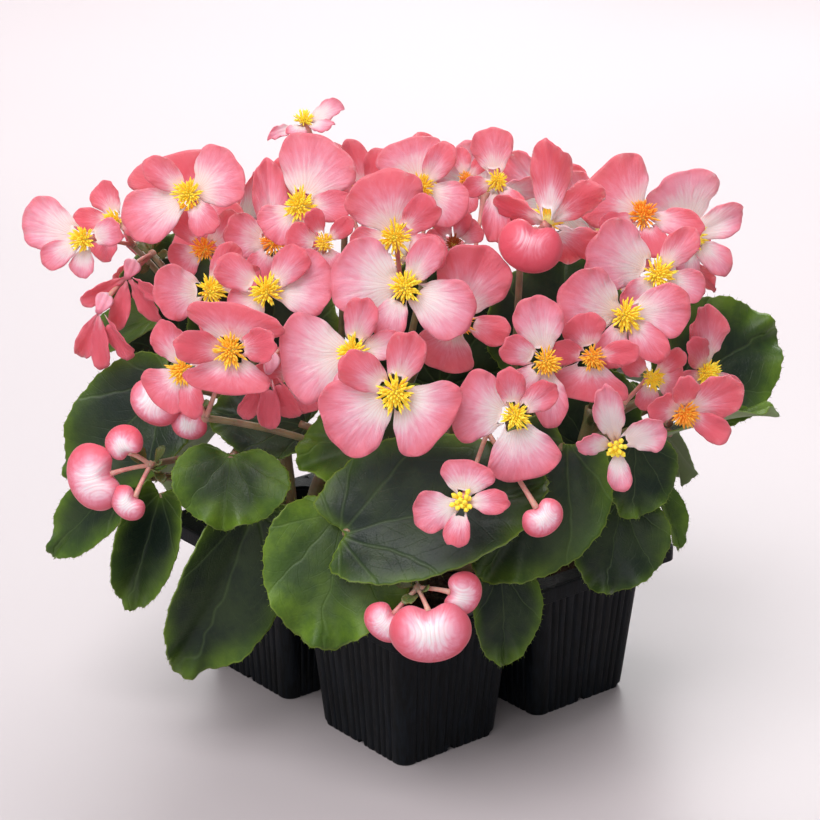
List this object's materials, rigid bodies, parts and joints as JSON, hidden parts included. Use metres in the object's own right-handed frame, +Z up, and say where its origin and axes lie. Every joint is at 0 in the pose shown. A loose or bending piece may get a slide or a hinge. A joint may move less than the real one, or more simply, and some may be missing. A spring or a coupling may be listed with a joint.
{
  "type": "potted wax begonia",
  "caption": "Bushy flowering bedding plants with round glossy leaves and pink and white blooms, growing in soil in a thin black plastic cell pack.",
  "frame": {"origin": "middle of the base of the whole object's bounding box, on the surface that the pack stands on", "axes": "+Z up; X and Y along the sides of the pack; the pack's corner at +X -Y is the front one in the picture"},
  "size_m": [0.2332, 0.24, 0.2064],
  "materials": {
    "pack_plastic": "thin vacuum-formed black plastic with a dull sheen",
    "peat": "moist dark potting soil",
    "foliage": "waxy dark green leaves with paler veins and yellow-green margins",
    "petals": "satin petals, salmon pink at the edge and white at the middle, with yellow stamens"
  },
  "bodies": {
    "root": {"cell_pack": "pack_plastic", "soil_plug_front": "peat", "soil_plug_right": "peat", "soil_plug_left": "peat", "soil_plug_back": "peat", "plant_front": "foliage", "plant_right": "foliage", "plant_left": "foliage", "plant_back": "foliage", "spray_01": "petals", "spray_02": "petals", "spray_03": "petals", "spray_04": "petals", "spray_05": "petals", "spray_06": "petals", "spray_07": "petals", "spray_08": "petals", "spray_09": "petals", "spray_10": "petals", "spray_11": "petals", "spray_12": "petals", "spray_13": "petals", "spray_14": "petals", "spray_15": "petals", "spray_16": "petals", "spray_17": "petals", "spray_18": "petals", "spray_19": "petals", "spray_20": "petals", "spray_21": "petals", "spray_22": "petals", "spray_23": "petals", "spray_24": "petals", "spray_25": "petals", "spray_26": "petals", "spray_27": "petals", "spray_28": "petals", "spray_29": "petals", "spray_30": "petals"}
  },
  "joints": []
}
